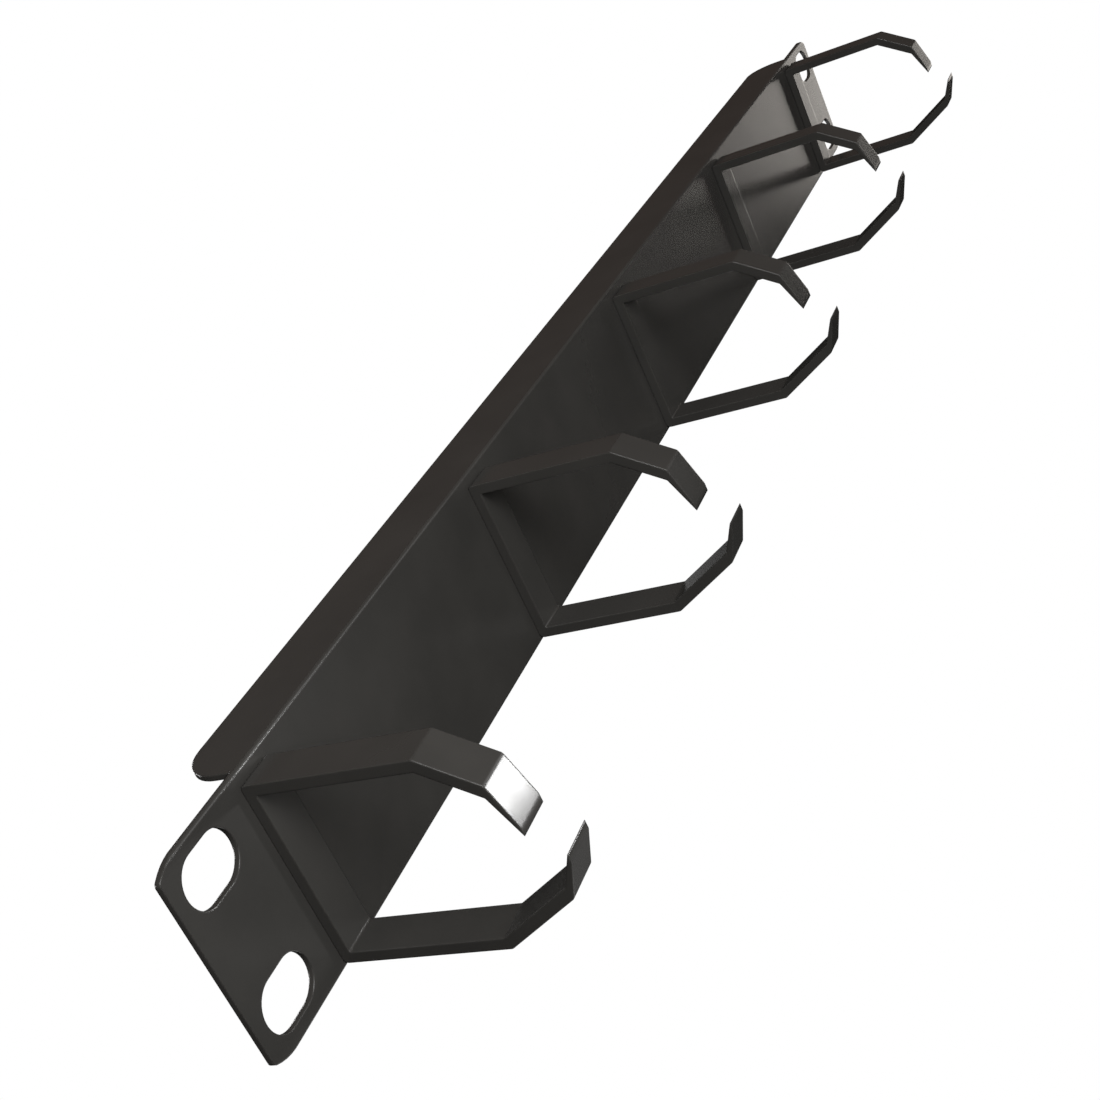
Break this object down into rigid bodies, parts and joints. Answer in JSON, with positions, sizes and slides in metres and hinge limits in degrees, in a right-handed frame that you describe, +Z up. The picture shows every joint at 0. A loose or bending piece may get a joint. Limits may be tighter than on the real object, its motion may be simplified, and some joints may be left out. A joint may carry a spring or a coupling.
{
  "type": "cable management bar",
  "caption": "One-unit rack panel with slotted ears, a folded top flange and open rings along its front that hold cable bundles.",
  "frame": {"origin": "centre of the four rack screw slots, on the back face that sits on the rack rails", "axes": "+X along the panel, +Y back into the rack, so the rings point to -Y, and +Z up towards the folded flange"},
  "size_m": [0.4826, 0.0694, 0.044],
  "materials": {
    "coated_steel": "satin black powder coat"
  },
  "bodies": {
    "root": {"panel": "coated_steel", "cable_ring_1": "coated_steel", "cable_ring_2": "coated_steel", "cable_ring_3": "coated_steel", "cable_ring_4": "coated_steel", "cable_ring_5": "coated_steel"}
  },
  "joints": []
}
